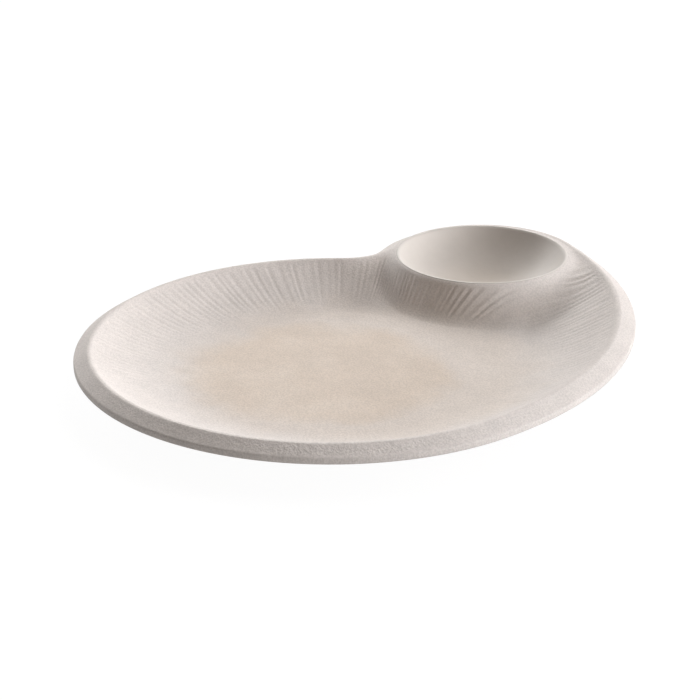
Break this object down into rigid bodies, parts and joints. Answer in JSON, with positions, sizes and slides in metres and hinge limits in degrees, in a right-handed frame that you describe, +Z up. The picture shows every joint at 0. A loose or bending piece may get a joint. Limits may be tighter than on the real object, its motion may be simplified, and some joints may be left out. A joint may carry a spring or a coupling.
{
  "type": "serving plate with dip bowl",
  "caption": "Round fluted ceramic serving plate whose wall runs on into a small round dip bowl at one end, on a low foot ring.",
  "frame": {"origin": "middle of the bounding box in plan, on the surface that the plate stands on", "axes": "+X along the plate, from the middle of the dish to the middle of the bowl; +Z up; +Y towards the side where the outline is drawn in between dish and bowl"},
  "size_m": [0.2932, 0.2278, 0.0229],
  "materials": {
    "body_clay": "matt, fine sandy grain, beige in the middle of the floor",
    "bowl_glaze": "smooth satin",
    "foot_clay": "bare, unglazed"
  },
  "bodies": {
    "root": {"plate_body": "body_clay", "dip_bowl": "bowl_glaze", "foot_ring": "foot_clay"}
  },
  "joints": []
}
